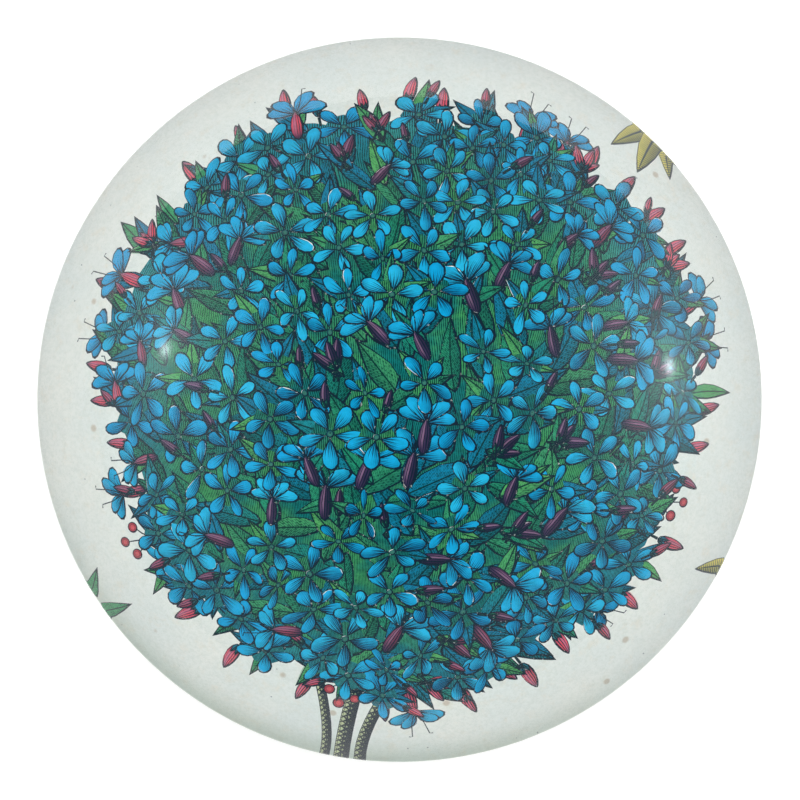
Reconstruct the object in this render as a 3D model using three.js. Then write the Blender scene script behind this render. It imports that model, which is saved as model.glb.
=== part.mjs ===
// A solid glass dome paperweight: a plano-convex block of clear glass with a printed paper disc glued
// under it by a clear film, and a soft pad that covers the paper's back and stands on the table.
// Millimetres, +Z up. The origin is the centre of the pad's underside.
import * as THREE from "three";

// Driving dimensions.
const GLASS_RADIUS = 44.5; // half of the glass's width, at its upright side
const CAP_RADIUS = 53; // the sphere that the top is a part of
const RIM_ROUND = 1.6; // the round between the top and the upright side
const SIDE_TOP = 4.2; // where the upright side ends, above the glass's flat underside
const FOOT_ROUND = 1.2; // the round between the upright side and the flat underside
const PAD_THICKNESS = 1.2;
const PRINT_THICKNESS = 0.2;
const FILM_THICKNESS = 0.15;
const PRINT_MARGIN = 0.1; // how far the paper and its film stop short of the glass's flat underside
const PAD_MARGIN = 0.8; // how far the pad stops short of the glass's flat underside
const PAD_TOP_ROUND = 0.25; // the pad's cut edge is softened at the top ...
const PAD_FOOT_ROUND = 0.4; // ... and a little more where it meets the table

// How finely the round shapes are divided.
const TURN_STEPS = 96;
const CAP_STEPS = 18;
const RIM_STEPS = 5;
const FOOT_STEPS = 4;
const PAD_EDGE_STEPS = 3;

// Worked out from the dimensions above.
const PRINT_BASE = PAD_THICKNESS;
const FILM_BASE = PRINT_BASE + PRINT_THICKNESS;
const GLASS_BASE = FILM_BASE + FILM_THICKNESS;
const FLAT_RADIUS = GLASS_RADIUS - FOOT_ROUND;
const PRINT_RADIUS = FLAT_RADIUS - PRINT_MARGIN;
const PAD_RADIUS = FLAT_RADIUS - PAD_MARGIN;

// Points of an arc in the plane of radius and height, without its first point. Angles are measured from
// straight outwards, turning up.
function arc(centreRadius, centreHeight, radius, startAngle, endAngle, steps) {
  const points = [];
  for (let step = 1; step <= steps; step += 1) {
    const angle = startAngle + ((endAngle - startAngle) * step) / steps;
    points.push(
      new THREE.Vector2(
        centreRadius + radius * Math.cos(angle),
        centreHeight + radius * Math.sin(angle),
      ),
    );
  }
  return points;
}

// A closed body of revolution about +Z. The profile runs from the axis, out and up, back to the axis.
function turned(profile) {
  const geometry = new THREE.LatheGeometry(profile, TURN_STEPS);
  geometry.rotateX(Math.PI / 2);
  return geometry;
}

// A flat disc with square edges.
function disc(radius, base, thickness) {
  const top = base + thickness;
  return turned([
    new THREE.Vector2(0, base),
    new THREE.Vector2(radius, base),
    new THREE.Vector2(radius, top),
    new THREE.Vector2(0, top),
  ]);
}

function named(name, geometry, material) {
  const mesh = new THREE.Mesh(geometry, material);
  mesh.name = name;
  return mesh;
}

// The glass: flat underside, rounded foot, upright side, rounded rim, and a spherical top. The rim's arc
// touches the side and the top without a corner, so its centre lies CAP_RADIUS - RIM_ROUND from the top
// sphere's centre.
function glassDome() {
  const rimCentreRadius = GLASS_RADIUS - RIM_ROUND;
  const rimCentreHeight = GLASS_BASE + SIDE_TOP;
  const centreDistance = CAP_RADIUS - RIM_ROUND;
  const meetingAngle = Math.acos(rimCentreRadius / centreDistance);
  const capCentreHeight =
    rimCentreHeight - centreDistance * Math.sin(meetingAngle);
  const cap = arc(
    0,
    capCentreHeight,
    CAP_RADIUS,
    meetingAngle,
    Math.PI / 2,
    CAP_STEPS,
  );
  cap[cap.length - 1].x = 0;
  const geometry = turned([
    new THREE.Vector2(0, GLASS_BASE),
    new THREE.Vector2(FLAT_RADIUS, GLASS_BASE),
    ...arc(
      FLAT_RADIUS,
      GLASS_BASE + FOOT_ROUND,
      FOOT_ROUND,
      -Math.PI / 2,
      0,
      FOOT_STEPS,
    ),
    new THREE.Vector2(GLASS_RADIUS, rimCentreHeight),
    ...arc(
      rimCentreRadius,
      rimCentreHeight,
      RIM_ROUND,
      0,
      meetingAngle,
      RIM_STEPS,
    ),
    ...cap,
  ]);
  const clearGlass = new THREE.MeshStandardMaterial({
    color: 0xeef6f1,
    roughness: 0.02,
    metalness: 0,
    transparent: true,
    opacity: 0.35,
  });
  return named("glass_dome", geometry, clearGlass);
}

// The film that wets the paper and the glass all over.
function adhesiveFilm() {
  const clearFilm = new THREE.MeshStandardMaterial({
    color: 0xf5f5ee,
    roughness: 0.15,
    metalness: 0,
    transparent: true,
    opacity: 0.3,
  });
  return named(
    "adhesive_film",
    disc(PRINT_RADIUS, FILM_BASE, FILM_THICKNESS),
    clearFilm,
  );
}

// The paper disc. Its picture is printed on the upper face, so it is seen through the glass.
function printSheet() {
  const paper = new THREE.MeshStandardMaterial({
    color: 0xd9ddd2,
    roughness: 0.75,
    metalness: 0,
  });
  return named(
    "print_sheet",
    disc(PRINT_RADIUS, PRINT_BASE, PRINT_THICKNESS),
    paper,
  );
}

// The pad, cut from soft sheet, so that both of its edges are a little rounded.
function backingPad() {
  const geometry = turned([
    new THREE.Vector2(0, 0),
    new THREE.Vector2(PAD_RADIUS - PAD_FOOT_ROUND, 0),
    ...arc(
      PAD_RADIUS - PAD_FOOT_ROUND,
      PAD_FOOT_ROUND,
      PAD_FOOT_ROUND,
      -Math.PI / 2,
      0,
      PAD_EDGE_STEPS,
    ),
    new THREE.Vector2(PAD_RADIUS, PAD_THICKNESS - PAD_TOP_ROUND),
    ...arc(
      PAD_RADIUS - PAD_TOP_ROUND,
      PAD_THICKNESS - PAD_TOP_ROUND,
      PAD_TOP_ROUND,
      0,
      Math.PI / 2,
      PAD_EDGE_STEPS,
    ),
    new THREE.Vector2(0, PAD_THICKNESS),
  ]);
  const softPad = new THREE.MeshStandardMaterial({
    color: 0x2f4a3a,
    roughness: 0.95,
    metalness: 0,
  });
  return named("backing_pad", geometry, softPad);
}

const paperweight = new THREE.Group();
paperweight.add(glassDome(), adhesiveFilm(), printSheet(), backingPad());

export default paperweight;
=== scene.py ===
# %% [markdown]
# # A glass dome paperweight
#
# A solid block of clear glass, flat below and round above, stands on a disc of felt. A printed paper disc
# is glued to its underside, picture up, so it is seen through the glass and looks larger than it is. The
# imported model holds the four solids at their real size. This lesson models the glass finely enough to bend
# light well, draws the picture as one flat printed sheet, gives glue and felt their real edges, and lights
# the whole like a catalogue photograph, from straight above.

# %% load the frame
import random
from functools import cached_property
from math import acos, atan2, copysign, cos, pi, radians, sin, sqrt, tau
from types import SimpleNamespace

import bpy
from mathutils import Matrix, Vector
from mathutils.bvhtree import BVHTree
from mathutils.geometry import delaunay_2d_cdt


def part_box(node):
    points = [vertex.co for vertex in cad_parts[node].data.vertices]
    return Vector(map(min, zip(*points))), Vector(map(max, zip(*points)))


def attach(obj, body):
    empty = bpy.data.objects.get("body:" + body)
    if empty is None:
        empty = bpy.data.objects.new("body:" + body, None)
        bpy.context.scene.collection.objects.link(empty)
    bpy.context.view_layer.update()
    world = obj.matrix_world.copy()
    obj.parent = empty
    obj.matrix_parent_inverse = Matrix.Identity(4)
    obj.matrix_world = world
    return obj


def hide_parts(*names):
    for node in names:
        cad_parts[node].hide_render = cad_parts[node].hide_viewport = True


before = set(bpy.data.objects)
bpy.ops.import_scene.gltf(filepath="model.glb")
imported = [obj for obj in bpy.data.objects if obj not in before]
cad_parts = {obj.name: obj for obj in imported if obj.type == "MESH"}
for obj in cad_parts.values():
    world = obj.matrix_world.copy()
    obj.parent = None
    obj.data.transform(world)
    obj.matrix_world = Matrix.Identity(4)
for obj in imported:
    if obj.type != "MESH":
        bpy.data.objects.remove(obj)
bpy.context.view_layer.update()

MM = 0.001
glass_low, glass_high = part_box("glass_dome")
print_low, print_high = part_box("print_sheet")
_, pad_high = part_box("backing_pad")
GLASS_RADIUS = glass_high.x
PRINT_RADIUS = print_high.x
print(f"glass {2 * GLASS_RADIUS / MM:.1f} mm wide, {glass_high.z / MM:.2f} mm to the top")

# %% [markdown]
# ## Turned pieces
#
# The glass, the glue and the pad are round about one upright axis, so each is drawn as half an outline
# and then spun, with the same operators as by hand: a point is extruded for a straight stretch and spun
# about a centre for an arc. A sphere that is cut and bevelled comes close too, but bevels on a curved wall
# miss the rim's true radius, and glass shows that at once.

# %% a pen for outlines
WELD = 0.001 * MM  # points nearer to each other than this become one
CREASE = radians(40)  # an edge sharper than this stays sharp


def nothing_selected():
    """Deselects every object, because an operator acts on all that is selected."""
    if bpy.context.object and bpy.context.object.mode != "OBJECT":
        bpy.ops.object.mode_set(mode="OBJECT")
    bpy.ops.object.select_all(action="DESELECT")


def leave_edit_mode():
    """Turns all faces outwards on the way out."""
    bpy.ops.mesh.select_all(action="SELECT")
    bpy.ops.mesh.normals_make_consistent(inside=False)
    bpy.ops.object.mode_set(mode="OBJECT")


class Outline:
    """Half the outline of a turned piece, drawn in the XZ plane from point to point, in metres."""

    def __init__(self, name, radius, height):
        nothing_selected()
        bpy.ops.mesh.primitive_plane_add(size=MM)
        self.piece = bpy.context.object
        self.piece.name = self.piece.data.name = name
        bpy.ops.object.mode_set(mode="EDIT")
        bpy.ops.mesh.select_mode(type="VERT")
        bpy.ops.mesh.merge(type="CENTER")
        bpy.ops.transform.translate(value=(radius, 0, height))
        self.radius, self.height = radius, height

    def line(self, radius, height):
        step = (radius - self.radius, 0, height - self.height)
        bpy.ops.mesh.extrude_vertices_move(TRANSFORM_OT_translate={"value": step})
        self.radius, self.height = radius, height
        return self

    def arc(self, centre_radius, centre_height, angle, steps):
        """Turns on about a centre by an angle, counted from outwards towards up."""
        centre = (centre_radius, 0, centre_height)
        bpy.ops.mesh.spin(steps=steps, angle=angle, center=centre, axis=(0, 1, 0))
        across, up = self.radius - centre_radius, self.height - centre_height
        self.radius = centre_radius + across * cos(angle) - up * sin(angle)
        self.height = centre_height + across * sin(angle) + up * cos(angle)
        return self

    def spun(self, steps):
        """Spins the outline once round the upright axis, closes it, and returns the piece."""
        bpy.ops.mesh.select_all(action="SELECT")
        bpy.ops.mesh.spin(steps=steps, angle=tau, center=(0, 0, 0), axis=(0, 0, 1))
        bpy.ops.mesh.select_all(action="SELECT")
        bpy.ops.mesh.remove_doubles(threshold=WELD)
        leave_edit_mode()
        bpy.ops.object.shade_smooth_by_angle(angle=CREASE)
        return self.piece

# %% [markdown]
# ## The glass
#
# The dome was pressed and then fire-polished: a spherical top that runs right out to a small round rim,
# a short upright side, and a small round at the foot. The clear glue that holds the paper wets both all
# over, and its glass-like index makes glue and glass one body to the eye. So the block is modelled down
# through the glue and a hair's breadth into the paper. If it stopped short, the light would meet an air
# gap, which turns the picture silvery at a slant.

# %% glass dome
RIM_ROUND = 1.6 * MM
SIDE_TOP = glass_low.z + 4.2 * MM
FOOT_ROUND = 1.2 * MM
INTO_PAPER = 0.01 * MM
PAST_PAPER = 0.05 * MM  # how far the face that is glued to the paper reaches beyond it
SPIN_STEPS = 288
FOOT_STEPS, RIM_STEPS, CAP_STEPS = 8, 10, 96

rim_centre = GLASS_RADIUS - RIM_ROUND
cap_rise = glass_high.z - SIDE_TOP - RIM_ROUND
cap_less_rim = (rim_centre**2 + cap_rise**2) / (2 * cap_rise)
cap_radius = cap_less_rim + RIM_ROUND
cap_centre = glass_high.z - cap_radius
rim_turn = acos(rim_centre / cap_less_rim)

outline = Outline("glass_block", 0, print_high.z - INTO_PAPER)
outline.line(PRINT_RADIUS + PAST_PAPER, print_high.z - INTO_PAPER)
outline.line(GLASS_RADIUS - FOOT_ROUND, glass_low.z)
outline.arc(GLASS_RADIUS - FOOT_ROUND, glass_low.z + FOOT_ROUND, pi / 2, FOOT_STEPS)
outline.line(GLASS_RADIUS, SIDE_TOP)
outline.arc(rim_centre, SIDE_TOP, rim_turn, RIM_STEPS)
outline.arc(0, cap_centre, pi / 2 - rim_turn, CAP_STEPS)
glass = outline.spun(SPIN_STEPS)
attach(glass, "root")
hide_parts("glass_dome", "adhesive_film")
print(f"cap radius {cap_radius / MM:.2f} mm, {len(glass.data.polygons)} faces")

# %% [markdown]
# ## The picture, as flat shapes
#
# The picture is like an old hand-coloured engraving: a posy of five-petalled blue blossoms among lance
# leaves, buds and berries. The engraver's ink came first, and the colour was laid over it by hand in thin
# washes, which miss the outlines here and there. Each motif is a few flat rings: its body, whose rim is
# ink, the inner ring that the ink leaves open, and its wash, set a little off. Rings follow a formula, so
# that the shader can find its way inside them.

# %% the form of petals, leaves and buds
FORMS = {  # how a blade swells from its root, and how it closes at its tip
    "petal": (1.0, 0.5),
    "leaf": (0.7, 1.1),
    "straw": (0.6, 0.9),
    "bud": (0.5, 0.7),
}
LIGHT = Vector((-0.6, 0.8))  # the engraver's light comes from the upper left
FINE_INK, HEAVY_INK = 0.085, 0.17  # an outline's width on its lit and on its shaded side, mm
WASH_SLIP = 0.14  # how far a wash may lie off its outline, mm
WASH_WOBBLE = 0.03  # how unsteady a wash's own edge is, mm
LOOSE_WASHES = 0.35  # the share of washes that have an edge of their own
OPEN_BLADE, OPEN_STEM = 0.3, 0.25  # the least share of its width that an outline's ink leaves open


def polar(radius, angle):
    return Vector((radius * cos(angle), radius * sin(angle)))


def all_round(count):
    """Angles evenly all round."""
    return [tau * step / count for step in range(count)]


def swell(along, form):
    """How wide a blade is at a share of its length, as a share of its widest."""
    root, tip = form
    widest = root / (root + tip)
    return (along / widest) ** root * ((1 - along) / (1 - widest)) ** tip


def blade_ring(form, half, steps, trim=0.0, inset=(0.0, 0.0), teeth=0.0):
    """The ring of a blade 1 long. trim shortens its ends, and inset narrows its two sides."""
    ring = []
    for side, narrower in zip((1, -1), inset):
        for step in range(steps):
            turn = step if side > 0 else steps - step
            share = (1 - cos(pi * turn / steps)) / 2
            wide = half * swell(share, form)
            saw = 1 + teeth * (1 if turn % 2 else -0.5)
            across = max(wide * saw - narrower, OPEN_BLADE * wide)
            ring.append(Vector((trim + (1 - 2 * trim) * share, side * across)))
    return ring


root, tip = FORMS["leaf"]
print(f"a leaf is widest at {root / (root + tip):.2f} of its length")

# %% laying the shapes down
class Picture:
    """Flat shapes in millimetres, in the order in which they are laid down. A later one hides the rest."""

    def __init__(self, seed):
        self.chance = random.Random(seed)
        self.motifs = []
        self.rings = []

    def between(self, low, high):
        return self.chance.uniform(low, high)

    def about(self, middle, off):
        return middle + self.between(-off, off)

    def motif(self, kind, half=1, bend=0, shade=0, tint=0, place=None, origin=None, path=None):
        """Notes down a motif and returns its number. place and origin, or else path, say where it is."""
        along, across = (place.col[0], place.col[1]) if place else (Vector((1, 0)), Vector((0, 1)))
        noted = SimpleNamespace(kind=kind, half=half, bend=bend, origin=origin, path=path)
        noted.back = place.inverted() if place else None
        noted.tone = self.chance.random(), shade, tint
        noted.size = along.length, across.length * half, 1 if across.dot(LIGHT) > 0 else 0
        self.motifs.append(noted)
        return len(self.motifs) - 1

    def ring(self, motif, role, points):
        self.rings.append((motif, role, points))

    def slip(self):
        """How far off a wash is laid."""
        angle, far = self.between(0, tau), self.between(0.2, 1) * WASH_SLIP
        return polar(1, angle) * far

    def patch(self, edge, shade):
        """Ground without an outline, washed all over."""
        number = self.motif("ground", shade=shade, place=Matrix.Identity(2), origin=Vector((0, 0)))
        self.ring(number, "body", edge)
        self.ring(number, "filled", edge)

    def blade(self, kind, origin, place, half, bend, shade, tint, steps=7, teeth=0.0, behind=False):
        """A petal, a leaf or a bud. place turns and stretches its own coordinates, where it is 1 long.
        Its wash has a loose edge of its own or fills the inner ring, as it always does behind others."""
        number = self.motif(kind, half, bend, shade, tint, place, origin)
        loose = self.between(0, 1) < LOOSE_WASHES and not behind
        form = FORMS[kind]
        length = (place @ Vector((1, 0))).length
        across = (place @ Vector((0, 1))).normalized()
        lit = [FINE_INK, HEAVY_INK] if across.dot(LIGHT) > 0 else [HEAVY_INK, FINE_INK]
        inset = [ink / length for ink in lit]
        slip, spread = self.slip(), self.between(0.94, 1.06)

        def put(points, offset=Vector((0, 0)), wobble=0.0):
            made = []
            for x, y in points:
                y += bend * x * x
                rough = Vector((self.about(0, wobble), self.about(0, wobble)))
                made.append(origin + offset + place @ Vector((x, y)) + rough)
            return made

        self.ring(number, "body", put(blade_ring(form, half, steps, teeth=teeth)))
        trim = 0.5 * sum(inset) + 0.015
        inner = put(blade_ring(form, half, steps, trim, inset, teeth))
        self.ring(number, "inner" if loose else "filled", inner)
        if loose:
            wash = blade_ring(form, half * spread, steps=5, trim=0.03)
            self.ring(number, "wash", put(wash, slip, WASH_WOBBLE))

    def round(self, kind, centre, radius, shade, tint, steps, tilt=None):
        """A berry or the throat of a blossom, with its own coordinates from -1 to 1."""
        place = (tilt or Matrix.Identity(2)) * radius
        number = self.motif(kind, 1, 0, shade, tint, place, centre)
        circle = [polar(1, angle) for angle in all_round(steps)]
        heavy = [FINE_INK * (1.3 - 0.7 * p.dot(LIGHT)) / radius for p in circle]
        self.ring(number, "body", [centre + place @ p for p in circle])
        self.ring(number, "inner", [centre + place @ (p * (1 - h)) for p, h in zip(circle, heavy)])
        slip = self.slip() * 0.7
        self.ring(number, "wash", [centre + slip + place @ (p * 0.97) for p in circle])

    def strip(self, kind, path, widths, shade=0.0, tint=0.0, ink=FINE_INK):
        """A stem along a path, with its own coordinates in mm along and from -1 to 1 across, or with no
        ink width a plain stroke of the pen."""
        number = self.motif(kind, max(widths), shade=shade, tint=tint, path=path)

        def sides(narrower):
            left, right = [], []
            for step in range(len(path)):
                ahead = path[min(step + 1, len(path) - 1)] - path[max(step - 1, 0)]
                aside = Vector((-ahead.y, ahead.x)).normalized()
                share = step / (len(path) - 1)
                half = widths[0] + (widths[1] - widths[0]) * share
                left.append(path[step] + aside * max(half - narrower[0], OPEN_STEM * half))
                right.append(path[step] - aside * max(half - narrower[1], OPEN_STEM * half))
            return left + right[::-1]

        self.ring(number, "body", sides((0, 0)))
        if ink:
            self.ring(number, "inner", sides((ink, 1.6 * ink)))
            self.ring(number, "wash", [p + self.slip() * 0.6 for p in sides((0.4 * ink, 0.4 * ink))])


def turned(angle, length, tilt=None):
    """The place of a blade: its length in millimetres, its direction, and the tilt of what it sits on."""
    place = Matrix.Rotation(angle, 2) * length
    return tilt @ place if tilt else place


def tilted(direction, share):
    """The foreshortening of a flat thing that leans away: narrowed to a share along a direction."""
    turn = Matrix.Rotation(direction, 2)
    return turn @ Matrix(((share, 0), (0, 1))) @ turn.transposed()

# %% blossoms and buds
PETALS = 5
STEM_STEPS = 12
PETAL_HALF, BUD_HALF, LEAF_HALF = 0.265, 0.19, 0.155  # half widths, as shares of the length


def open_blossom(picture, centre, size, lean, share, shade):
    """Five petals round a small throat. The blossom leans away along a direction, narrowed to a share."""
    tilt = tilted(lean, share)
    start = picture.between(0, tau)
    tint = picture.between(0, 1)
    shade += picture.between(-0.25, 0.35)
    picture.patch([centre + tilt @ polar(0.62 * size, a) for a in all_round(8)], shade=1)
    for turn in all_round(PETALS):
        angle = picture.about(start + turn, 0.12)
        length = size * picture.between(0.88, 1.1)
        root = centre + tilt @ polar(0.12 * size, angle)
        bend = picture.about(0, 0.16)
        half = PETAL_HALF * picture.between(0.88, 1.1)
        dark = picture.about(shade, 0.2)
        picture.blade("petal", root, turned(angle, length, tilt), half, bend, dark, tint)
    picture.round("throat", centre, 0.14 * size, shade, tint, steps=8, tilt=tilt)


def side_blossom(picture, root, angle, size, shade, rosy):
    """A blossom from the side: a dark tube, and the petals that spread from its mouth."""
    tint = picture.between(0, 1)
    mouth = root + polar(0.72 * size, angle)
    for turn in (-0.95, 0.9, -0.45, 0.42):
        spread = picture.about(angle + turn, 0.12)
        length = size * picture.between(0.62, 0.76)
        bend = 0.3 * copysign(1, turn)
        picture.blade("petal", mouth, turned(spread, length), 0.27, bend, shade, tint, steps=6)
    for turn in (-0.3, 0.22):
        tip = mouth + polar(picture.between(0.75, 0.95) * size, angle + turn)
        middle = mouth.lerp(tip, 0.5) + polar(0.22, angle + copysign(1.2, turn))
        picture.strip("pen", [mouth, middle, tip, tip + polar(0.4, angle + 6 * turn)], (0.05, 0.07), ink=0)
    picture.blade("bud", root, turned(angle, 0.86 * size), BUD_HALF, 0.0, shade, rosy, steps=6)


def bud(picture, root, angle, size, shade, tint):
    """A closed bud on its short stalk, with two sepals."""
    stalk_end = root + polar(0.35 * size, angle)
    ahead = polar(1, angle)
    path = [root + ahead * (0.35 * size * step / 3) for step in range(4)]
    picture.strip("stem", path, (0.13, 0.17), shade, 0)
    picture.blade("bud", stalk_end, turned(angle, size), BUD_HALF, picture.between(-0.12, 0.12), shade, tint)
    for turn in (-0.34, 0.34):
        sepal = turned(angle + turn, 0.42 * size)
        picture.blade("leaf", stalk_end, sepal, 0.2, -0.4 * turn, shade, 0.5, steps=4, behind=True)


def leaf(picture, root, angle, size, shade, tint, **finish):
    bend = picture.about(0, 0.24)
    half = LEAF_HALF * picture.between(0.85, 1.15)
    picture.blade("leaf", root, turned(angle, size), half, bend, shade, tint, **finish)


print(f"a blossom has {PETALS} petals")

# %% the posy
POSY_FOOT = Vector((-7, -40))  # where its stems come together, mm
POSY_REACH = 31.5  # the radius of its thick part, mm
POSY_MIDDLE = Vector((0.3, 0.6))
REACH_WAVES = ((0.9, 3, 0.6), (0.6, 7, 0), (0.4, 12, 2))  # each wave's height in mm, count and start
OPEN_WITH_BUD, OPEN, FROM_SIDE = 0.3, 0.68, 0.9  # up to which draw a sprig bears such a blossom
EDGE_BUD, EDGE_LEAF, EDGE_BLOSSOM = 0.56, 0.76, 0.9  # the same for what stands out at the edge


def outline_reach(angle):
    """The thick part's reach in a direction: a round, but not an even one."""
    reach = POSY_REACH
    for height, count, start in REACH_WAVES:
        reach += height * sin(count * angle + start)
    return reach


def growth(point):
    """The direction in which the posy grows at a point: away from its foot, and a little outwards."""
    up = (point - POSY_FOOT).normalized()
    out = (point - POSY_MIDDLE) / POSY_REACH
    flow = up + out * 1.1
    return atan2(flow.y, flow.x)


def scattered(picture, spacing, crowding, reach, tries):
    """Points inside a share of the posy's reach. They keep their spacing, less a share towards the edge."""
    points = []
    for _ in range(tries):
        angle = picture.between(0, tau)
        far = sqrt(picture.between(0, 1)) * outline_reach(angle) * reach
        point = POSY_MIDDLE + polar(far, angle)
        room = spacing * (1 - crowding * (far / POSY_REACH) ** 2)
        if all((point - other).length > room for other in points):
            points.append(point)
    return points


def shading(picture, point):
    """How dark the engraver made a place: darker deep inside and to the lower right, away from the light."""
    far = (point - POSY_MIDDLE) / POSY_REACH
    return picture.about(0.42 - 0.18 * far.length_squared - 0.2 * far.dot(LIGHT), 0.15)


def outer_first(points):
    return sorted(points, key=lambda point: -(point - POSY_MIDDLE).length)


def outness(point):
    """How far out in the posy a point is, from 0 in its middle to 1 at its edge."""
    return min(1, (point - POSY_MIDDLE).length / POSY_REACH)


def rosiness(point):
    """Buds are dark inside the posy, and rose where the light reaches them at its edge."""
    return outness(point) ** 8


def sprig(picture, point):
    """A few leaves, and on them a blossom, a blossom from the side, or buds."""
    shade, rosy = shading(picture, point), rosiness(point)
    along = growth(point)
    for _ in range(picture.chance.choice((1, 2))):
        angle = picture.about(along, 1.3)
        size = picture.between(4.2, 6.6)
        leaf(picture, point - polar(0.25 * size, angle), angle, size, shade + 0.15, picture.between(0, 1))
    kind = picture.between(0, 1)
    if kind < OPEN:
        lean = picture.between(0, pi)
        dark = shade + 0.05 * rosy
        size = picture.between(2.5, 3.2) + 0.35 * outness(point) ** 2
        open_blossom(picture, point, size, lean, picture.between(0.6, 1), dark)
        if kind < OPEN_WITH_BUD:
            angle = picture.about(along, 0.8)
            bud(picture, point + polar(1.5, angle), angle, picture.between(2.5, 3.2), shade, rosy)
    elif kind < FROM_SIDE:
        angle = picture.about(along, 1.0)
        side_blossom(picture, point - polar(1.8, angle), angle, picture.between(3.7, 4.8), shade, rosy)
    else:
        for turn in (-0.45, 0.1, 0.6):
            angle = picture.about(along + turn, 0.15)
            bud(picture, point - polar(1.2, angle), angle, picture.between(2.7, 3.5), shade, rosy)


def fringe(picture):
    """What stands out of the thick part against the paper: buds, leaf tips, blossoms and berries."""
    angle = 0
    while angle < tau - 0.06:
        root = POSY_MIDDLE + polar(outline_reach(angle) - picture.between(0.5, 2.2), angle)
        outward = polar(1, angle) + polar(0.55, growth(root)) + polar(0.25, picture.between(0, tau))
        ahead = atan2(outward.y, outward.x)
        shade = shading(picture, root) - 0.15
        kind = picture.between(0, 1)
        if kind < EDGE_BUD:
            bud(picture, root, ahead, picture.between(3.2, 4.5), shade, picture.between(0.85, 1))
        elif kind < EDGE_LEAF:
            leaf(picture, root, ahead, picture.between(4.5, 6.5), shade, picture.between(0, 0.5))
        elif kind < EDGE_BLOSSOM:
            size = picture.between(3.6, 4.6)
            side_blossom(picture, root - polar(0.8, ahead), ahead, size, shade + 0.3, 0.8)
        else:
            berries(picture, root, ahead, shade)
        angle += picture.between(0.09, 0.2)


def berries(picture, root, ahead, shade):
    """Three small berries on bent stalks."""
    for turn, far in ((-0.5, 2.9), (0.05, 3.9), (0.55, 3.1)):
        end = root + polar(far, ahead + turn)
        path = [root.lerp(end, step / 4) + polar(0.3 * sin(step), ahead) for step in range(5)]
        picture.strip("pen", path, (0.09, 0.06), ink=0)
        picture.round("berry", end, picture.between(0.55, 0.7), shade, picture.between(0, 1), steps=12)


def stem(picture, foot, knee, top, half, shade, tint):
    """A stem that swings from its foot past a knee to its top."""
    shares = [step / STEM_STEPS for step in range(STEM_STEPS + 1)]
    path = [foot.lerp(knee, share).lerp(knee.lerp(top, share), share) for share in shares]
    picture.strip("stem", path, (half, 0.8 * half), shade, tint)


CUTTING_ROOT = 46  # how far out the leaves grow that reach in over the paper's edge, mm


def cutting(picture, kind, angle, tips, shade):
    """Leaf tips that reach in over the paper's edge from a motif that the round cut took away."""
    for turn, far, half in tips:
        root = polar(CUTTING_ROOT, radians(angle))
        ahead = turned(radians(angle + 180 + turn), far)
        picture.blade(kind, root, ahead, half, 0.12, shade, 0.3)


def ground(picture):
    """The shaded ground between the leaves, as one shape."""
    edge = [POSY_MIDDLE + polar(outline_reach(a) - picture.between(0.8, 1.8), a) for a in all_round(90)]
    picture.patch(edge, shade=0.4)


def draw_posy(picture):
    for foot, knee, top, half in (
        ((-4.6, -45), (-5.5, -36), (2.5, -26), 0.75),
        ((-9.6, -44), (-6.8, -37), (-9.5, -26), 0.62),
        ((-7.2, -45), (-6.4, -36), (-3.2, -26), 0.95),
    ):
        stem(picture, Vector(foot), Vector(knee), Vector(top), half, 0.5, picture.between(0.8, 1))
    cutting(picture, "straw", 46, ((-24, 9.5, 0.14), (30, 8, 0.15), (2, 9.5, 0.16)), 0.2)
    cutting(picture, "leaf", 214, ((-22, 8.5, 0.13), (20, 7.6, 0.15)), 0.3)
    cutting(picture, "straw", 334, ((12, 8, 0.14),), 0.3)
    ground(picture)
    fringe(picture)
    for point in outer_first(scattered(picture, spacing=3.1, crowding=0.0, reach=0.97, tries=6000)):
        angle = picture.about(growth(point), 0.9)
        size = picture.between(6.5, 9.0)
        root, dark = point - polar(0.5 * size, angle), picture.between(0.7, 1)
        leaf(picture, root, angle, size, dark, picture.between(0.25, 0.9), steps=6, teeth=0.05, behind=True)
    sprigs = outer_first(scattered(picture, spacing=3.8, crowding=0.22, reach=0.985, tries=9000))
    for point in sprigs:
        sprig(picture, point)
    return len(sprigs)


picture = Picture(seed=11)
print(draw_posy(picture), "sprigs,", len(picture.rings), "rings")

# %% [markdown]
# ## From shapes to a printed sheet
#
# The rings overlap in hundreds of places. A triangulation that keeps their lines cuts them against each
# other and says which rings each triangle lies in, so the topmost motif can be found. A second one keeps
# only the lines where what shows changes, which leaves far fewer triangles. Motifs on thin plates of their
# own would be simpler, but hundreds of stacked plates under thick glass make a stepped edge.

# %% from rings to faces
ROUND_STEPS = 360
NEARLY_ALIKE = 1e-4  # points nearer to each other than this become one, mm


def what_shows(rings, lying):
    """The motif and the role that show where these rings lie on each other. The last body hides the rest."""
    bodies = [number for number in lying if rings[number][1] == "body"]
    if bodies:
        motif = rings[max(bodies)][0]
        roles = {rings[number][1] for number in lying if rings[number][0] == motif}
        if "filled" in roles or roles >= {"inner", "wash"}:
            return motif, "washed"
        return motif, "bare" if "inner" in roles else "ink"
    washes = [number for number in lying if rings[number][1] == "wash"]
    return (rings[max(washes)][0], "bleed") if washes else (None, "paper")


def counterclockwise(ring):
    """A ring that runs round to the left, as the triangulation wants it."""
    area = sum(start.cross(end) for start, end in zip(ring, ring[1:] + ring[:1]))
    return ring if area > 0 else ring[::-1]


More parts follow.
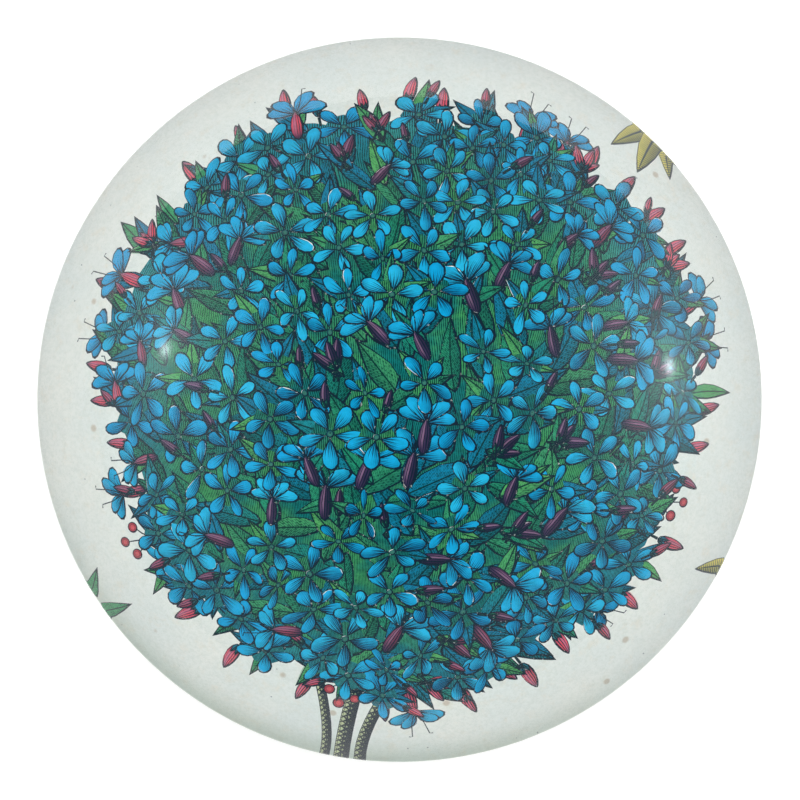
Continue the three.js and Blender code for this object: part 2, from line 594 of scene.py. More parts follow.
def cut_rings(rings, radius):
    """Cuts the rings against each other inside a circle. Returns points, triangles and what each shows."""
    circle = [polar(radius, angle) for angle in all_round(ROUND_STEPS)]
    points, outlines = [], []
    for outline in [counterclockwise(ring) for _, _, ring in rings] + [circle]:
        outlines.append(range(len(points), len(points) + len(outline)))
        points += outline
    points, _, faces, _, _, owners = delaunay_2d_cdt(points, [], outlines, 1, NEARLY_ALIKE, True)
    inside = [(face, own) for face, own in zip(faces, owners) if len(rings) in own]
    shown = {}
    marks = []
    for _, own in inside:
        key = frozenset(own) - {len(rings)}
        if key not in shown:
            shown[key] = what_shows(rings, key)
        marks.append(shown[key])
    return points, [face for face, _ in inside], marks


def redrawn(points, triangles, marks):
    """Triangulates again, with only the lines where what shows changes."""
    sides = {}
    for triangle, mark in zip(triangles, marks):
        for start, end in zip(triangle, triangle[1:] + triangle[:1]):
            sides.setdefault((min(start, end), max(start, end)), []).append(mark)
    lines = [side for side, beside in sides.items() if len(beside) == 1 or beside[0] != beside[1]]
    kept = {old: new for new, old in enumerate(sorted({end for line in lines for end in line}))}
    again = [points[old] for old in kept]
    lines = [(kept[start], kept[end]) for start, end in lines]
    new_points, _, new_triangles, _, _, _ = delaunay_2d_cdt(again, lines, [], 1, NEARLY_ALIKE, False)
    under = BVHTree.FromPolygons([p.to_3d() for p in points], triangles, all_triangles=True)
    new_marks = []
    for triangle in new_triangles:
        middle = sum((new_points[corner] for corner in triangle), Vector((0, 0))) / 3
        _, _, found, _ = under.find_nearest(middle.to_3d())
        new_marks.append(marks[found])
    return new_points, new_triangles, new_marks


cut = cut_rings(picture.rings, PRINT_RADIUS / MM)
print(len(cut[1]), "triangles when all is cut")
points, triangles, marks = redrawn(*cut)
print(len(triangles), "triangles in the picture")

# %% the printed sheet
SURFACES = ["paper", "ink", "ground", "petal", "leaf", "straw", "bud", "berry", "stem", "throat"]
WASH_MARK = {"washed": 1.0, "bleed": 0.5, "bare": 0.0, "ink": 0.0, "paper": 0.0}
FRONT_MAP = 0.49, (0.5, 0.5)  # half the width and the middle of each part of the map for baking
BACK_MAP = 0.045, (0.06, 0.06)
RIM_TOP_MAP = 0.045, (0.94, 0.06)
RIM_FOOT_MAP = 0.035, (0.94, 0.06)


def own_place(motif, point):
    """A point in the motif's own coordinates: along it, and across it in half widths."""
    if motif.path:
        return along_path(motif.path, motif.half, point)
    x, y = motif.back @ (point - motif.origin)
    return x, (y - motif.bend * x * x) / motif.half


def along_path(path, half, point):
    """How far along a path a point lies, in mm, and how far beside it, in half widths."""
    gone, places = 0.0, []
    for start, end in zip(path, path[1:]):
        step = end - start
        share = max(0, min(1, (point - start).dot(step) / step.length_squared))
        beside = point - start.lerp(end, share)
        places.append((beside.length, gone + share * step.length, step.normalized().cross(beside) / half))
        gone += step.length
    return min(places, key=lambda place: place[0])[1:]


def sheet_mesh(points, triangles, marks):
    """The top of the sheet, with a material for each surface and what the shaders need at each corner."""
    mesh = bpy.data.meshes.new("printed_picture")
    mesh.from_pydata([(p.x * MM, p.y * MM, print_high.z) for p in points], [], triangles)
    own, tone, size, slots = [], [], [], []
    blank = SimpleNamespace(tone=(0, 0, 0), size=(1, 1, 1))
    for triangle, (number, role) in zip(triangles, marks):
        motif = blank if number is None else picture.motifs[number]
        kind = role if role in ("paper", "ink") else motif.kind
        slots.append(SURFACES.index(kind))
        for corner in triangle:
            own += (0, 0) if kind in ("paper", "ink") else own_place(motif, points[corner])
            tone += (*motif.tone, WASH_MARK[role])
            size += (*motif.size, 1)
    mesh.polygons.foreach_set("material_index", slots)
    mesh.uv_layers.new(name="motif").data.foreach_set("uv", own)
    mesh.attributes.new("tone", "FLOAT_COLOR", "CORNER").data.foreach_set("color", tone)
    mesh.attributes.new("size", "FLOAT_COLOR", "CORNER").data.foreach_set("color", size)
    flat = [share for t in triangles for c in t for share in unwrapped(points[c] * MM, *FRONT_MAP)]
    mesh.uv_layers.new(name="OFBake").data.foreach_set("uv", flat)
    return mesh


def unwrapped(point, reach, middle):
    """Where a point of the sheet lies on the map for baking, in one of the map's parts."""
    return point[0] / PRINT_RADIUS * reach + middle[0], point[1] / PRINT_RADIUS * reach + middle[1]


def give_thickness(sheet):
    """Draws the sheet's edge down by its thickness, closes its back, and maps both beside the picture."""
    nothing_selected()
    bpy.context.view_layer.objects.active = sheet
    sheet.select_set(True)
    bpy.ops.object.mode_set(mode="EDIT")
    bpy.ops.mesh.select_all(action="DESELECT")
    bpy.ops.mesh.select_mode(type="EDGE")
    bpy.ops.mesh.select_non_manifold()
    down = (0, 0, print_low.z - print_high.z)
    bpy.ops.mesh.extrude_edges_move(TRANSFORM_OT_translate={"value": down})
    bpy.ops.mesh.edge_face_add()
    leave_edit_mode()
    bake = sheet.data.uv_layers["OFBake"].data
    for face in sheet.data.polygons:
        if face.normal.z > 0.5:
            continue
        face.material_index = SURFACES.index("paper")
        for loop, corner in zip(face.loop_indices, face.vertices):
            point = sheet.data.vertices[corner].co
            rim_map = RIM_TOP_MAP if point.z > (print_low.z + print_high.z) / 2 else RIM_FOOT_MAP
            bake[loop].uv = unwrapped(point, *(BACK_MAP if face.normal.z < -0.5 else rim_map))


sheet = bpy.data.objects.new("printed_picture", sheet_mesh(points, triangles, marks))
bpy.context.scene.collection.objects.link(sheet)
give_thickness(sheet)
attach(sheet, "root")
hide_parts("print_sheet")
print(len(sheet.data.polygons), "faces in the sheet")

# %% [markdown]
# ## Glue and felt
#
# Where paper and glass meet, a little clear glue was pressed out and dried as an uneven bead. Below it
# lies the pad, a disc punched from 1.2 mm felt, with single wool fibres standing out of its cut edge. Both
# are spun like the glass, and then their points are moved a little.

# %% squeezed-out glue
BEAD_WIDTH = 0.16 * MM
BEAD_STEPS = 240
BEAD_FOOT = print_low.z + 0.05 * MM
BEAD_INSIDE = -0.02 * MM  # how far it reaches in over the paper's cut edge

bead_outline = Outline("glue_bead", PRINT_RADIUS + BEAD_INSIDE, BEAD_FOOT)
for out, height in (
    (0.4 * BEAD_WIDTH, BEAD_FOOT + 0.01 * MM),
    (BEAD_WIDTH, print_high.z - 0.04 * MM),
    (1.1 * BEAD_WIDTH, glass_low.z - 0.004 * MM),
    (0.06 * MM, print_high.z - 0.012 * MM),
    (BEAD_INSIDE, print_high.z - 0.02 * MM),
    (BEAD_INSIDE, BEAD_FOOT),
):
    bead_outline.line(PRINT_RADIUS + out, height)
bead = bead_outline.spun(BEAD_STEPS)
for vertex in bead.data.vertices:
    out = vertex.co.xy.length - PRINT_RADIUS
    angle = atan2(vertex.co.y, vertex.co.x)
    swollen = 0.75 + 0.2 * sin(5 * angle + 1) + 0.15 * sin(13 * angle) * sin(3 * angle)
    if out > 0:
        vertex.co.xy *= (PRINT_RADIUS + out * swollen) / vertex.co.xy.length
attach(bead, "root")
print("the bead of glue has", len(bead.data.polygons), "faces")

# %% felt pad
PAD_TOP_ROUND = 0.25 * MM
PAD_FOOT_ROUND = 0.4 * MM
PAD_WEAR = 0.05 * MM  # how deep wear has eaten into its edge, at most about three times this
PAD_STEPS, PAD_FOOT_STEPS, PAD_TOP_STEPS = 360, 5, 4
pad_radius = pad_high.x

pad_outline = Outline("felt_pad", 0, 0)
pad_outline.line(pad_radius - PAD_FOOT_ROUND, 0)
pad_outline.arc(pad_radius - PAD_FOOT_ROUND, PAD_FOOT_ROUND, pi / 2, PAD_FOOT_STEPS)
pad_outline.line(pad_radius, 0.5 * pad_high.z)
pad_outline.line(pad_radius, pad_high.z - PAD_TOP_ROUND)
pad_outline.arc(pad_radius - PAD_TOP_ROUND, pad_high.z - PAD_TOP_ROUND, pi / 2, PAD_TOP_STEPS)
pad_outline.line(0, pad_high.z)
pad = pad_outline.spun(PAD_STEPS)
for vertex in pad.data.vertices:
    angle = atan2(vertex.co.y, vertex.co.x)
    worn = 1.4 + sin(5 * angle + 1) * sin(14 * angle) + 0.4 * sin(43 * angle)
    if vertex.co.xy.length > 0.5 * pad_radius:
        vertex.co.xy *= 1 - worn * PAD_WEAR / pad_radius
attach(pad, "root")
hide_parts("backing_pad")

# %% loose wool fibres
FIBRES = 300
FIBRE_HALF = 0.016 * MM
FIBRE_RINGS = 4

nothing_selected()
bpy.ops.mesh.primitive_cone_add(vertices=4, radius1=FIBRE_HALF, radius2=0.3 * FIBRE_HALF, depth=MM)
fibre = bpy.context.object
bpy.ops.object.mode_set(mode="EDIT")
for ring in range(1, FIBRE_RINGS):
    bpy.ops.mesh.select_all(action="SELECT")
    height = (ring / FIBRE_RINGS - 0.5) * MM
    bpy.ops.mesh.bisect(plane_co=(0, 0, height), plane_no=(0, 0, 1))
bpy.ops.object.mode_set(mode="OBJECT")


def stray_fibre(template, chance):
    """A copy of the fibre that curls out of the pad's cut edge, clear of the table and of the paper."""
    angle, around = chance.uniform(0, tau), chance.uniform(-1.1, 1.1)
    length, curl = chance.uniform(0.3, 1.0), chance.uniform(-0.5, 0.5)
    height, lift = chance.uniform(0.15, 0.95) * MM, chance.uniform(-0.25, 0.1)
    out = Vector((cos(angle), sin(angle), 0))
    ahead = Vector((cos(angle + around), sin(angle + around), lift)).normalized()
    aside = ahead.cross(Vector((0, 0, 1))).normalized()
    copy = bpy.data.objects.new("fibre", template.data.copy())
    bpy.context.scene.collection.objects.link(copy)
    for vertex in copy.data.vertices:
        far = (vertex.co.z / MM + 0.5) * length
        thick = aside * vertex.co.x + ahead.cross(aside) * vertex.co.y
        place = out * (pad_radius - 0.15 * MM) + ahead * far * MM + aside * curl * far**2 * MM + thick
        place.z = max(0.01 * MM, min(print_low.z - 0.03 * MM, place.z + height))
        vertex.co = place
    return copy


chance = random.Random(5)
strays = [stray_fibre(fibre, chance) for _ in range(FIBRES)]
bpy.data.objects.remove(fibre)
nothing_selected()
for stray in strays:
    stray.select_set(True)
bpy.context.view_layer.objects.active = strays[0]
bpy.ops.object.join()
fibres = bpy.context.object
fibres.name = fibres.data.name = "wool_fibres"
bpy.ops.object.mode_set(mode="EDIT")
leave_edit_mode()
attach(fibres, "root")
print(FIBRES, "fibres,", len(fibres.data.polygons), "faces")

# %% [markdown]
# ## Materials
#
# A shader is a sum of nodes, and a sum reads best as one. So a small class wraps each socket and lets
# Python write the Math nodes: `1 - mask` adds one node. Every other node comes from one method.

# %% shader sums
def sum_of(operation, swapped=False):
    """A method of Wire that adds a Math node. swapped puts the wire itself last."""

    def method(self, *others):
        return self.recipe.math(operation, *((*others, self) if swapped else (self, *others)))

    return method


class Wire:
    """A number, colour or vector on its way between nodes. A sum written with it adds Math nodes."""

    __add__ = __radd__ = sum_of("ADD")
    __sub__, __rsub__ = sum_of("SUBTRACT"), sum_of("SUBTRACT", swapped=True)
    __mul__ = __rmul__ = sum_of("MULTIPLY")
    __truediv__, __pow__, __abs__ = sum_of("DIVIDE"), sum_of("POWER"), sum_of("ABSOLUTE")

    def __init__(self, recipe, socket):
        self.recipe, self.socket = recipe, socket

    def other(self, name):
        """Another output of the same node."""
        return Wire(self.recipe, self.socket.node.outputs[name])

    def rise(self, low, high):
        """Runs smoothly from 0 to 1 as the number goes from low to high, or the other way round."""
        steps = {"Value": self, "From Min": low, "From Max": high}
        return self.recipe.node("MapRange", {"interpolation_type": "SMOOTHSTEP"}, steps)

    def held(self, low, high):
        """The number, held between two limits."""
        return self.recipe.node("Clamp", None, {"Value": self, "Min": low, "Max": high})


class Recipe:
    """The nodes of one new material, or of a new world."""

    def __init__(self, name, owners=bpy.data.materials):
        self.owner = owners.new(name)
        self.owner.use_nodes = True
        self.tree = self.owner.node_tree
        self.tree.nodes.clear()

    def node(self, kind, settings=None, sockets=None, out=0):
        """Adds a node, with its settings first and then its sockets, and returns one of its outputs."""
        made = self.tree.nodes.new("ShaderNode" + kind)
        for name, value in (settings or {}).items():
            setattr(made, name, value)
        for name, value in (sockets or {}).items():
            if isinstance(value, Wire):
                self.tree.links.new(value.socket, made.inputs[name])
            else:
                made.inputs[name].default_value = value
        return Wire(self, made.outputs[out]) if made.outputs else None

    def math(self, operation, *numbers):
        return self.node("Math", {"operation": operation}, dict(enumerate(numbers)))

    def most(self, largest, *others):
        """The largest of some numbers, such as the darkest of some inks."""
        for other in others:
            largest = self.math("MAXIMUM", largest, other)
        return largest

    def measure(self, operation, *vectors):
        """A number worked out from vectors, such as a LENGTH."""
        return self.node("VectorMath", {"operation": operation}, dict(enumerate(vectors)), out="Value")

    def sides(self, vector):
        """A vector's X. Its Y and Z are other outputs of the same node."""
        return self.node("SeparateXYZ", None, {0: vector}, out="X")

    @cached_property
    def point(self):
        """The point of the surface in millimetres, in the piece's own frame."""
        place = self.node("TexCoord", out="Object")
        return self.node("VectorMath", {"operation": "SCALE"}, {0: place, "Scale": 1 / MM})

    def noise(self, scale, detail=2.0, rough=0.5, warp=0.0):
        finer = {"Detail": detail, "Roughness": rough, "Distortion": warp}
        return self.node("TexNoise", None, {"Vector": self.point, "Scale": scale, **finer})

    def cells(self, scale, randomness=1.0):
        """How far off the nearest of many scattered points is."""
        sockets = {"Vector": self.point, "Scale": scale, "Randomness": randomness}
        return self.node("TexVoronoi", None, sockets)

    def mix(self, share, first, second, blend="MIX"):
        """Mixes two colours."""
        settings = {"data_type": "RGBA", "blend_type": blend}
        return self.node("Mix", settings, {0: share, 6: first, 7: second}, out=2)

    def stained(self, tone, *stains):
        """A colour with others laid over it, each by its share."""
        for share, *stain in stains:
            tone = self.mix(share, tone, colour(*stain))
        return tone

    def bump(self, height, distance):
        return self.node("Bump", None, {"Height": height, "Distance": distance})

    def surface(self, sockets, volume=None):
        """Ends in a Principled surface with these sockets, and returns the material."""
        ends = {"Surface": self.node("BsdfPrincipled", None, sockets)}
        if volume:
            ends["Volume"] = volume
        self.node("OutputMaterial", None, ends)
        return self.owner


def colour(*seen):
    """An sRGB colour as it is seen, turned into the linear one that a socket takes."""
    return tuple(((c / 255 + 0.055) / 1.055) ** 2.4 if c > 10 else c / 3295 for c in seen) + (1,)

# %% clear glass
# Hands leave a faint film of grease on the top. It is a thin, rough coat, a little stronger in patches.
def clear_glass():
    recipe = Recipe("clear_glass")
    smears = recipe.noise(0.09, 4.0, 0.6).rise(0.42, 0.7)
    depth = recipe.node("VolumeAbsorption", None, {"Color": (0.86, 0.97, 0.92, 1), "Density": 6.0})
    polished = {
        "Base Color": (1.0, 1.0, 1.0, 1),
        "Roughness": 0.0,
        "IOR": 1.5,
        "Transmission Weight": 1.0,
        "Coat Weight": smears * 0.12,
        "Coat Roughness": 0.35,
    }
    return recipe.surface(polished, depth)


glass.data.materials.append(clear_glass())

# %% dried glue
def dried_glue():
    recipe = Recipe("dried_glue")
    cloudy = recipe.noise(0.8, 3.0)
    tone = recipe.stained(colour(232, 230, 214), (cloudy, 206, 200, 178))
    lumps = recipe.bump(recipe.noise(2.5), 0.05 * MM)
    return recipe.surface(
        {"Base Color": tone, "Roughness": cloudy * 0.3 + 0.12, "Normal": lumps, "IOR": 1.47}
    )


bead.data.materials.append(dried_glue())

# %% wool felt
def wool_felt():
    recipe = Recipe("wool_felt")
    lie = recipe.noise(0.35, 3.0, 0.6)
    strands = recipe.noise(9.0, 4.0, 0.7, warp=2.5)
    tufts = recipe.noise(2.2, 3.0)
    tone = recipe.stained(
        colour(24, 38, 30),
        (strands.rise(0.3, 0.75), 52, 78, 62),
        (lie.rise(0.35, 0.7) * 0.35, 66, 90, 74),
    )
    napped = {
        "Base Color": tone,
        "Roughness": 0.95,
        "Normal": recipe.bump(strands * 0.6 + tufts, 0.18 * MM),
        "Sheen Weight": 0.4,
        "Sheen Roughness": 0.5,
    }
    return recipe.surface(napped)


felt = wool_felt()
pad.data.materials.append(felt)
fibres.data.materials.append(felt)

# %% [markdown]
# ## The print
#
# Old rag paper is a little grey-green, mottled, with brown specks. On it comes the ink, as lines that swell
# and thin. The UV map holds each motif's own coordinates, along it and across it, so the hatching follows
# each petal and leaf wherever it lies. Pitches and scales are in millimetres on the paper.

# %% old paper
# Painted shade: the paper's rim is darkened on this side, where the glass's rim lies in shade.
PAINTED_SHADE_SIDE = (-0.26, -0.97, 0)  # the paper's rim is darker on this side


def old_paper(recipe):
    """The paper's colour: clouds, warm patches, fibres, rust specks, dust, and painted shade on its rim."""
    cloudy = recipe.noise(0.06, 4.0, 0.6).rise(0.3, 0.7)
    warm = recipe.noise(0.55, 3.0, 0.7).rise(0.5, 0.8)
    grain = recipe.noise(2.6, 4.0, 0.75).rise(0.35, 0.7)
    rust = recipe.cells(0.2).rise(0.11, 0.05)
    dust = recipe.cells(0.42).rise(0.05, 0.03)
    tone = recipe.stained(
        colour(236, 242, 240),
        (cloudy, 247, 247, 241),
        (warm * 0.5, 238, 230, 214),
        (grain * 0.36, 208, 216, 208),
        (rust * 0.5, 176, 148, 112),
        (dust * 0.7, 92, 100, 116),
    )
    # Painted shade: the rim of the paper darkens towards the lower left, in place of shade at the glass's
    # rim.
    rim = recipe.measure("LENGTH", recipe.point).rise(37.5, 43.5)
    painted_shade = rim * recipe.measure("DOT_PRODUCT", recipe.point, PAINTED_SHADE_SIDE).rise(14, 42)
    return recipe.mix(painted_shade * 0.85, tone, colour(202, 212, 200), blend="MULTIPLY")

# %% an engraver's plate
LINE_EDGE = 0.14  # how softly an engraved line ends at its side, as a share of its pitch
ROW_SHIFT = 0.618  # how much further on each row's bars lie, as a share of their pitch
BLUE_INK = colour(16, 36, 52)
GREEN_INK = colour(12, 48, 50)


class Plate(Recipe):
    """The nodes of one surface of the print, with the coordinates of the motif that a point lies in."""

    def __init__(self, surface):
        super().__init__(f"print_{surface}")
        tone, size = (self.node("Attribute", {"attribute_name": a}, out="Color") for a in ("tone", "size"))
        tones, sizes = (self.node("SeparateColor", None, {0: noted}, out="Red") for noted in (tone, size))
        self.kind = surface
        self.along = self.sides(self.node("UVMap", {"uv_map": "motif"}))
        self.across = self.along.other("Y")
        self.seed, self.shade, self.tint = tones, tones.other("Green"), tones.other("Blue")
        self.washed = tone.other("Alpha")
        self.length, self.half, self.lit = sizes, sizes.other("Green"), sizes.other("Blue") * 2 - 1

    def narrowed(self):
        """How far across a blade a point is, from -1 to 1, wherever along it."""
        wide = swell(self.along.held(0.004, 0.996), FORMS[self.kind])
        return self.across / self.most(wide, 0.02)

    def from_middle(self):
        """How far a point of a round motif is from its middle: 1 at its edge."""
        return self.math("SQRT", self.along**2 + self.across**2)

    def darkness(self, across, share):
        """A share for how far round to the shaded side a point lies, and the rest for its motif's shade."""
        return (across * self.lit * -0.5 + 0.5) * share + self.shade * (1 - share)

    def engraved(self, phase, weight):
        """Engraved lines, one for each whole number of the phase. weight is the share of a line's pitch."""
        wave = abs(self.math("FRACT", phase) - 0.5) * 2
        return wave.rise(weight + LINE_EDGE, weight - LINE_EDGE)

    def by_hand(self, weight):
        """The weight of lines that swell and thin under the engraver's hand."""
        return weight + (self.noise(2.2, 3.0, 0.7) - 0.5) * 1.1

    def grained(self, along, across, weight):
        """Engraved lines, and short bars between them, which leave the light as grains."""
        row = self.math("FLOOR", across + 0.5)
        bars = self.engraved(along + row * ROW_SHIFT, weight * 0.6)
        return self.most(self.engraved(across, weight), bars)

# %% washes and hatching of what grows
def ground_paint(plate):
    """Long strokes that fan out upwards, green inside and bluer towards the posy's edge."""
    aside = plate.sides(plate.point)
    drift = plate.noise(0.1) * 14
    patches = plate.noise(0.25, 3.0).rise(0.35, 0.65)
    outer = plate.measure("LENGTH", plate.point).rise(22, 31)
    wash = plate.stained(colour(66, 158, 96), (patches, 14, 120, 120), (outer * 0.6, 22, 150, 190))
    fan = aside / (aside.other("Y") + 110) * 560 + drift
    return wash, plate.engraved(fan, plate.by_hand(plate.shade * 0.2 + 0.26)), GREEN_INK


def petal_paint(plate):
    """Fine lines and a few bold strokes, both fanning out of the petal's root."""
    across = plate.narrowed()
    beside = across * plate.half
    shaded = plate.darkness(across, 0.5)
    pooled = plate.noise(0.45, 3.0, 0.6) - 0.5
    wash = plate.stained(
        colour(40, 192, 238),
        (plate.tint, 12, 168, 228),
        ((shaded + pooled * 0.9).rise(0.25, 0.95) * 0.9, 0, 92, 140),
        (plate.along.rise(0.4, 0.05) * 0.6, 0, 74, 104),
    )
    fan = beside / 0.2 + plate.noise(0.7) * 1.3 + plate.seed * 7
    fine = plate.engraved(fan, shaded * 0.7 + plate.along.rise(0.8, 0.1) * 0.4 - 0.3)
    bold = plate.engraved(beside / 0.4 + plate.seed * 5, plate.along.rise(0.85, 0.1) * 0.55 - 0.12)
    return wash, plate.most(fine, bold), BLUE_INK


def leaf_paint(plate):
    """Slanting lines with grains between them, crossed where it is dark, and a midrib with veins."""
    shaded = plate.darkness(plate.narrowed(), 0.4)
    along, beside = plate.along * plate.length, abs(plate.across * plate.half)
    rough = plate.noise(0.6) * 1.2
    out = plate.measure("LENGTH", plate.point)
    pitch = out.rise(12, 34) * 0.16 + 0.24
    bluish = (plate.tint + out.rise(18, 33) * 0.22).rise(0.6, 0.75)
    wash = plate.stained(
        colour(92, 178, 104),
        (plate.tint.rise(0, 0.6), 36, 148, 116),
        (bluish, 16, 132, 172),
        (shaded.rise(0.4, 1.2), 8, 100, 96),
    )
    weight = plate.by_hand(shaded * 0.45 - 0.08)
    hatching = plate.grained(beside / 0.5, (along - beside * 1.1) / pitch + rough, weight)
    crossing = plate.engraved((along + beside * 1.4) / pitch + rough, shaded * 0.8 - 0.55)
    veins = plate.engraved((along - beside * 1.9) / 1.25, 0.02)
    return wash, plate.most(hatching, crossing, beside.rise(0.1, 0.05), veins), GREEN_INK


def straw_paint(plate):
    across = plate.narrowed()
    shaded = plate.darkness(across, 0.6)
    wash = plate.stained(colour(232, 214, 96), (shaded.rise(0.2, 0.8), 150, 152, 62))
    slanting = plate.along * plate.length / 0.3 + across * 0.8 + plate.noise(0.7)
    lines = plate.engraved(slanting, shaded * 0.9 + 0.05)
    return wash, plate.most(lines, abs(across).rise(0.14, 0.07)), GREEN_INK


def stem_paint(plate):
    """Lines across it that bow both ways, closer together above, and lines along its shaded side."""
    across = plate.across
    shaded = across * -0.5 + 0.5
    wash = plate.stained(colour(206, 214, 170), (shaded.rise(0.2, 0.9), 140, 156, 112))
    wash = plate.mix(plate.tint, colour(30, 92, 66), wash)
    rough = plate.noise(0.9) * 0.8
    rows = (plate.along + 0.5) ** 1.25 * 0.62 + rough
    first = plate.engraved(rows + across * 0.9, shaded * 0.7 + 0.16)
    second = plate.engraved(rows - across * 0.9, shaded * 0.8 + 0.06)
    lengthwise = plate.engraved(across * 1.7 + rough, shaded * 0.7)
    return wash, plate.most(first, second, lengthwise), BLUE_INK

# %% washes and hatching of buds, berries and throats
def bud_paint(plate):
    """Dark at both ends, rose between them by its tint, with a paler streak on its lit side."""
    across = plate.narrowed()
    shaded = plate.darkness(across, 0.55)
    rosy = plate.along.rise(0.0, 0.5) * plate.along.rise(1.05, 0.65) * plate.tint
    streak = abs(across - plate.lit * 0.35).rise(0.4, 0.1) * plate.along.rise(0.1, 0.5)
    wash = plate.stained(
        colour(62, 48, 84),
        (rosy, 240, 92, 114),
        (streak * 0.45, 186, 140, 176),
        (shaded.rise(0.35, 0.9) * (0.9 - rosy * 0.6), 28, 22, 48),
    )
    lines = across * plate.half / 0.28 + plate.noise(0.8) * 0.6
    return wash, plate.engraved(lines, shaded * 0.9), BLUE_INK


def berry_paint(plate):
    far = plate.from_middle()
    wash = plate.stained(colour(222, 96, 104), (far.rise(0.2, 1.0), 158, 32, 60))
    return wash, plate.engraved(far * 3.0, far * 0.5 - 0.1), BLUE_INK


def throat_paint(plate):
    wash = plate.stained(colour(60, 124, 110), (plate.from_middle().rise(0.2, 0.9), 0, 62, 90))
    return wash, plate.cells(3.4, 0.7).rise(0.32, 0.22), BLUE_INK

# %% the print's materials
def bare_paper(plate):
    return None, None, None


def outline_ink(plate):
    """The ink of the outlines, with tiny gaps where the plate was worn."""
    worn = plate.noise(3.0, 3.0, 0.7).rise(0.25, 0.4)
    return None, 1 - (1 - worn) * 0.6, BLUE_INK


def printed(surface, paint):
    """The material of one surface of the print. paint says its wash and its ink, or leaves them None.
    Glue wets the paper and the ink, so neither has a shine of its own."""
    plate = Plate(surface)
    tone = old_paper(plate)
    wash, ink, ink_colour = paint(plate)
    if wash:
        grain = plate.noise(1.1, 4.0, 0.65).rise(0.3, 0.75)
        wash = plate.mix(grain * 0.5, wash, colour(190, 206, 196), blend="MULTIPLY")
        tone = plate.mix(plate.washed.rise(0.0, 0.95), tone, wash)
    if ink:
        tone = plate.mix(ink * abs(plate.washed * 2 - 1), tone, ink_colour)
    tooth = plate.bump(plate.noise(6.0, 3.0), 0.02 * MM)
    return plate.surface({"Base Color": tone, "Roughness": 0.75, "Specular IOR Level": 0.0, "Normal": tooth})


PAINTS = (
    bare_paper,
    outline_ink,
    ground_paint,
    petal_paint,
    leaf_paint,
    straw_paint,
    bud_paint,
    berry_paint,
    stem_paint,
    throat_paint,
)
for surface, paint in zip(SURFACES, PAINTS):
    sheet.data.materials.append(printed(surface, paint))
print(len(sheet.data.materials), "printed surfaces")

# %% [markdown]
# ## Light and camera
#
# A glass dome mirrors the whole studio. Photographers put such a piece in a white tent, on a lit white
# table that loses its shadow, and cut the tent's reflection with a filter, so that the picture keeps its
# depth. Here the cloth lights everything evenly, apart from a darker door beyond the picture's lower edge.
# Only what reflects it sees the dimmer tent, with a soft lamp glowing through the cloth on each side.

# %% table
TABLE_SIZE = 4.0
TABLE_DROP = 0.2 * MM  # so that the felt and the table don't share a face

nothing_selected()
bpy.ops.mesh.primitive_plane_add(size=TABLE_SIZE, location=(0, 0, -TABLE_DROP))
table = bpy.context.object
table.name = table.data.name = "studio_table"


def lit_table():
    recipe = Recipe("lit_table")
    tone = recipe.stained(colour(236, 236, 234), (recipe.noise(0.02), 240, 240, 238))
    aside = recipe.sides(recipe.point)
    far_side = (aside * 0.3 + aside.other("Y")).rise(-120, 120)
    lit = recipe.mix(far_side, (0.1, 0.1, 0.1, 1), (1, 1, 1, 1))
    return recipe.surface(
        {"Base Color": tone, "Roughness": 0.6, "Emission Color": lit, "Emission Strength": 0.75}
    )


table.data.materials.append(lit_table())

# %% tent and lamps
TENT_LIGHT = 1.74
TENT_DOOR = (264, 84, 1.0, 3.0)  # compass angle, angle from straight up, how much darker, sharpness
DIM_TOP, DIM_SIDES = 0.04, 0.5  # the dimmer tent overhead, and how much brighter its sides are
LAMPS = [  # compass angle and angle from straight up in degrees, core, halo, veil
    (168, 68, 11.0, 1.6, 1.3),
    (7, 79, 14.0, 1.6, 2.0),
]
LAMP_SHARPNESS = (2400, 160, 9)  # of the core, the halo and the veil


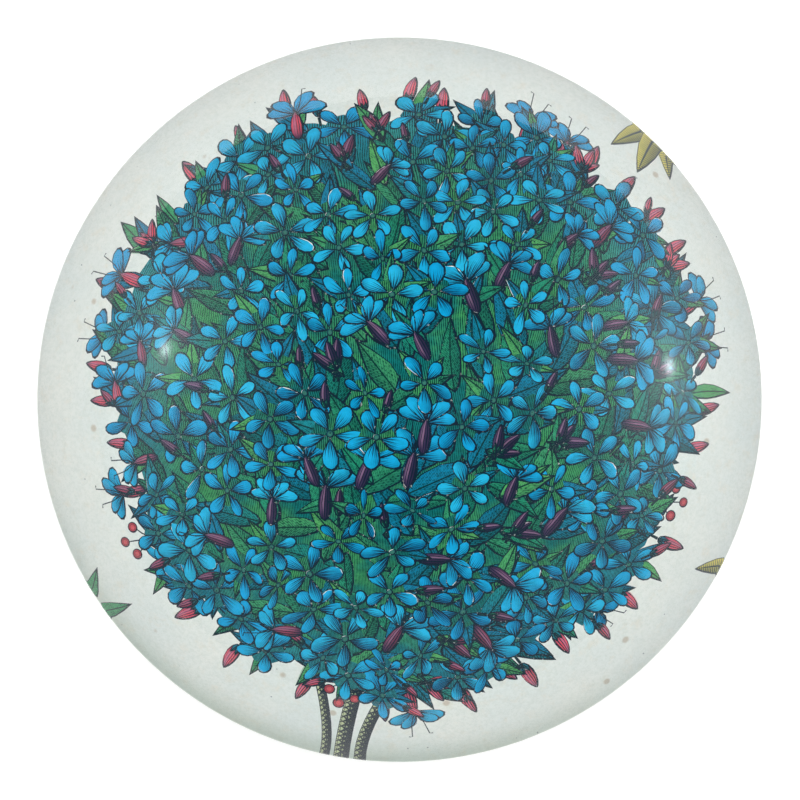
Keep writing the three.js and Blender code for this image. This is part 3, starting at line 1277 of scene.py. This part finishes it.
def nearness(recipe, toward, compass, lean, sharpness):
    """1 straight towards a direction, falling off all round it."""
    around, over = radians(compass), radians(lean)
    aim = (sin(over) * cos(around), sin(over) * sin(around), cos(over))
    return recipe.math("EXPONENT", (recipe.measure("DOT_PRODUCT", toward, aim) - 1) * sharpness)


def tent_world():
    recipe = Recipe("tent", bpy.data.worlds)
    toward = recipe.node("TexCoord", out="Generated")
    seen = DIM_TOP + DIM_SIDES * recipe.sides(toward).other("Z").rise(0.92, 0.2)
    for compass, lean, *glows in LAMPS:
        for sharpness, strength in zip(LAMP_SHARPNESS, glows):
            seen = seen + nearness(recipe, toward, compass, lean, sharpness) * strength
    path = recipe.node("LightPath", out="Is Glossy Ray")
    mirrored = path * path.other("Is Reflection Ray")
    compass, lean, darker, sharpness = TENT_DOOR
    even = TENT_LIGHT * (1 - nearness(recipe, toward, compass, lean, sharpness) * darker)
    cloth = recipe.node("Background", None, {"Color": (1.0, 1.0, 1.0, 1), "Strength": even})
    mirror = recipe.node("Background", None, {"Color": (0.8, 0.96, 1.0, 1), "Strength": seen})
    both = recipe.node("MixShader", None, {0: mirrored, 1: cloth, 2: mirror})
    recipe.node("OutputWorld", None, {"Surface": both})
    return recipe.owner


scene = bpy.context.scene
scene.world = tent_world()
scene.view_settings.view_transform = "Standard"

# %% camera
# The photograph looks straight down. The dome's widest ring is 362.6 pixels in radius there.
PICTURE_SIDE = 800
RING_PIXELS = 362.6
RING_CENTRE = (399.5, 399.5)
SENSOR = 36.0
CAMERA_ABOVE_RING = 0.75

pixels_per_metre = RING_PIXELS / GLASS_RADIUS
camera_data = bpy.data.cameras.new("camera")
camera_data.sensor_width = SENSOR
camera_data.lens = pixels_per_metre * CAMERA_ABOVE_RING * SENSOR / PICTURE_SIDE
camera_data.shift_x = (PICTURE_SIDE / 2 - RING_CENTRE[0]) / PICTURE_SIDE
camera_data.shift_y = (RING_CENTRE[1] - PICTURE_SIDE / 2) / PICTURE_SIDE
camera = bpy.data.objects.new("camera", camera_data)
camera.location = (0, 0, SIDE_TOP + CAMERA_ABOVE_RING)
scene.collection.objects.link(camera)
scene.camera = camera
print(f"lens {camera_data.lens:.0f} mm")
